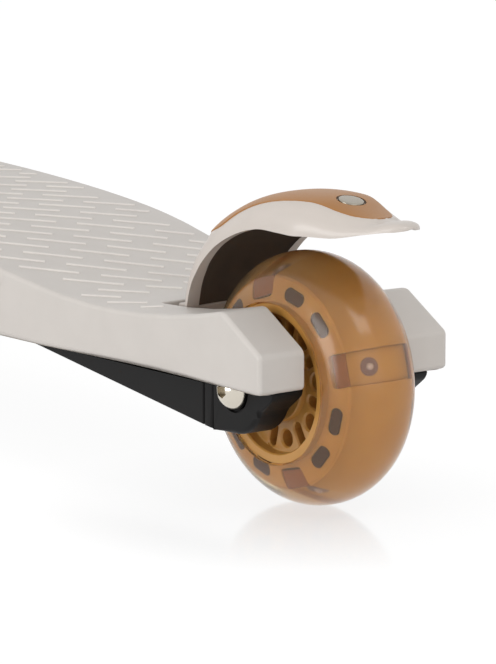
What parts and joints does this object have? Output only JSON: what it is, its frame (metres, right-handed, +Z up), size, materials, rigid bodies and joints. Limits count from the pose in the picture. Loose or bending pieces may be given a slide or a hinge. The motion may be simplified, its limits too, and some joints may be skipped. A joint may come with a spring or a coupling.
{
  "type": "three-wheel kids scooter",
  "caption": "Kids scooter with two leaning front wheels, one rear wheel under a foot brake, a curved deck and a folding, height-adjustable handlebar.",
  "frame": {"origin": "on the floor under the middle of the scooter's bounding box", "axes": "+X forward, +Y to the rider's left, +Z up"},
  "size_m": [0.6006, 0.28, 0.5163],
  "materials": {
    "shell_plastic": "satin moulded",
    "fender_plastic": "satin moulded",
    "frame_plastic": "fine texture",
    "knuckle_plastic": "fine texture",
    "joint_plastic": "satin",
    "lever_plastic": "satin",
    "tan_plastic": "satin",
    "hub_plastic": "translucent amber",
    "wheel_rubber": "cast polyurethane",
    "light_plastic": "clear",
    "bush_plastic": "natural",
    "pad_rubber": "matt",
    "grip_rubber": "ribbed",
    "steel": "zinc plated",
    "bolt_steel": "nickel plated",
    "bearing_steel": "ground",
    "spring_steel": "drawn",
    "magnet": "sintered",
    "bracket_metal": "cast",
    "tube_metal": "anodised"
  },
  "bodies": {
    "chassis": {"deck": "shell_plastic", "under_frame": "frame_plastic", "deck_screws": "steel", "bridge_screws": "steel", "rear_axle_bolt": "bolt_steel", "rear_axle_nut": "bolt_steel", "rear_axle_spacers": "steel", "rear_magnet": "magnet", "brake_pin": "steel", "brake_spring": "spring_steel", "front_bridge": "frame_plastic", "front_cover": "shell_plastic", "cover_screws": "steel", "kingpins": "steel", "steering_springs": "spring_steel", "fold_bracket": "bracket_metal", "bracket_bolts": "steel", "fold_bolt": "steel"},
    "rear_wheel": {"rear_hub": "hub_plastic", "rear_tyre": "wheel_rubber", "rear_bearings": "bearing_steel", "rear_lights": "light_plastic"},
    "brake": {"brake_fender": "fender_plastic", "brake_hinge": "fender_plastic", "fender_insert": "tan_plastic", "fender_stud": "bolt_steel", "brake_pad": "pad_rubber"},
    "left_steering": {"left_knuckle": "knuckle_plastic", "knuckle_bushes_left": "bush_plastic", "left_axle_bolt": "bolt_steel", "left_axle_spacers": "steel"},
    "right_steering": {"right_knuckle": "knuckle_plastic", "knuckle_bushes_right": "bush_plastic", "right_axle_bolt": "bolt_steel", "right_axle_spacers": "steel"},
    "tie": {"tie_bar": "knuckle_plastic"},
    "left_wheel": {"left_front_hub": "hub_plastic", "left_front_tyre": "wheel_rubber", "left_front_bearings": "bearing_steel", "left_front_lights": "light_plastic"},
    "right_wheel": {"right_front_hub": "hub_plastic", "right_front_tyre": "wheel_rubber", "right_front_bearings": "bearing_steel", "right_front_lights": "light_plastic"},
    "stem": {"stem_foot": "joint_plastic", "lower_tube": "tube_metal", "tube_bush": "bush_plastic", "collar": "joint_plastic", "collar_bolt": "steel"},
    "fold_cam": {"fold_lever": "lever_plastic"},
    "height_cam": {"collar_lever": "lever_plastic"},
    "handlebar": {"upper_tube": "tube_metal", "handle_joint": "joint_plastic", "handle_screw": "steel", "crossbar": "tube_metal", "left_grip": "grip_rubber", "right_grip": "grip_rubber"}
  },
  "joints": [
    {"name": "rear_wheel_spin", "type": "hinge", "parent": "chassis", "child": "rear_wheel", "pos_m": [-0.2397, 0, 0.05], "axis": [0, 1, 0], "continuous": true},
    {"name": "brake_press", "type": "hinge", "parent": "chassis", "child": "brake", "pos_m": [-0.1817, 0, 0.062], "axis": [0, -1, 0], "range_deg": [0, 10], "stiffness_Nm_per_rad": 1, "springref_deg": -8.59, "deforming": ["brake_spring"]},
    {"name": "left_steer", "type": "hinge", "parent": "chassis", "child": "left_steering", "pos_m": [0.2403, 0.072, 0.06], "axis": [-0.2588, 0, 0.9659], "range_deg": [-18, 18], "stiffness_Nm_per_rad": 2},
    {"name": "right_steer", "type": "hinge", "parent": "chassis", "child": "right_steering", "pos_m": [0.2403, -0.072, 0.06], "axis": [-0.2588, 0, 0.9659], "range_deg": [-18, 18]},
    {"name": "tie_shift", "type": "slide", "parent": "chassis", "child": "tie", "axis": [0, 1, 0], "range_m": [-0.0075, 0.0075], "deforming": ["steering_springs"]},
    {"name": "left_wheel_spin", "type": "hinge", "parent": "left_steering", "child": "left_wheel", "pos_m": [0.2403, 0.111, 0.06], "axis": [0, 1, 0], "continuous": true},
    {"name": "right_wheel_spin", "type": "hinge", "parent": "right_steering", "child": "right_wheel", "pos_m": [0.2403, -0.111, 0.06], "axis": [0, 1, 0], "continuous": true},
    {"name": "stem_fold", "type": "hinge", "parent": "chassis", "child": "stem", "pos_m": [0.21922, 0, 0.13096], "axis": [0, -1, 0], "range_deg": [0, 72]},
    {"name": "fold_lever_open", "type": "hinge", "parent": "chassis", "child": "fold_cam", "pos_m": [0.21922, 0.0304, 0.13096], "axis": [-0.9659, 0, -0.2588], "range_deg": [0, 100]},
    {"name": "collar_lever_open", "type": "hinge", "parent": "stem", "child": "height_cam", "pos_m": [0.15994, 0.0214, 0.46811], "axis": [0.2588, 0, -0.9659], "range_deg": [0, 100]},
    {"name": "height_slide", "type": "slide", "parent": "stem", "child": "handlebar", "axis": [-0.2588, 0, 0.9659], "range_m": [0, 0.18]}
  ],
  "couplings": [
    {"joint": "right_steer", "follows": "left_steer", "ratio": 1},
    {"joint": "tie_shift", "follows": "left_steer", "m_per_rad": 0.0238}
  ]
}
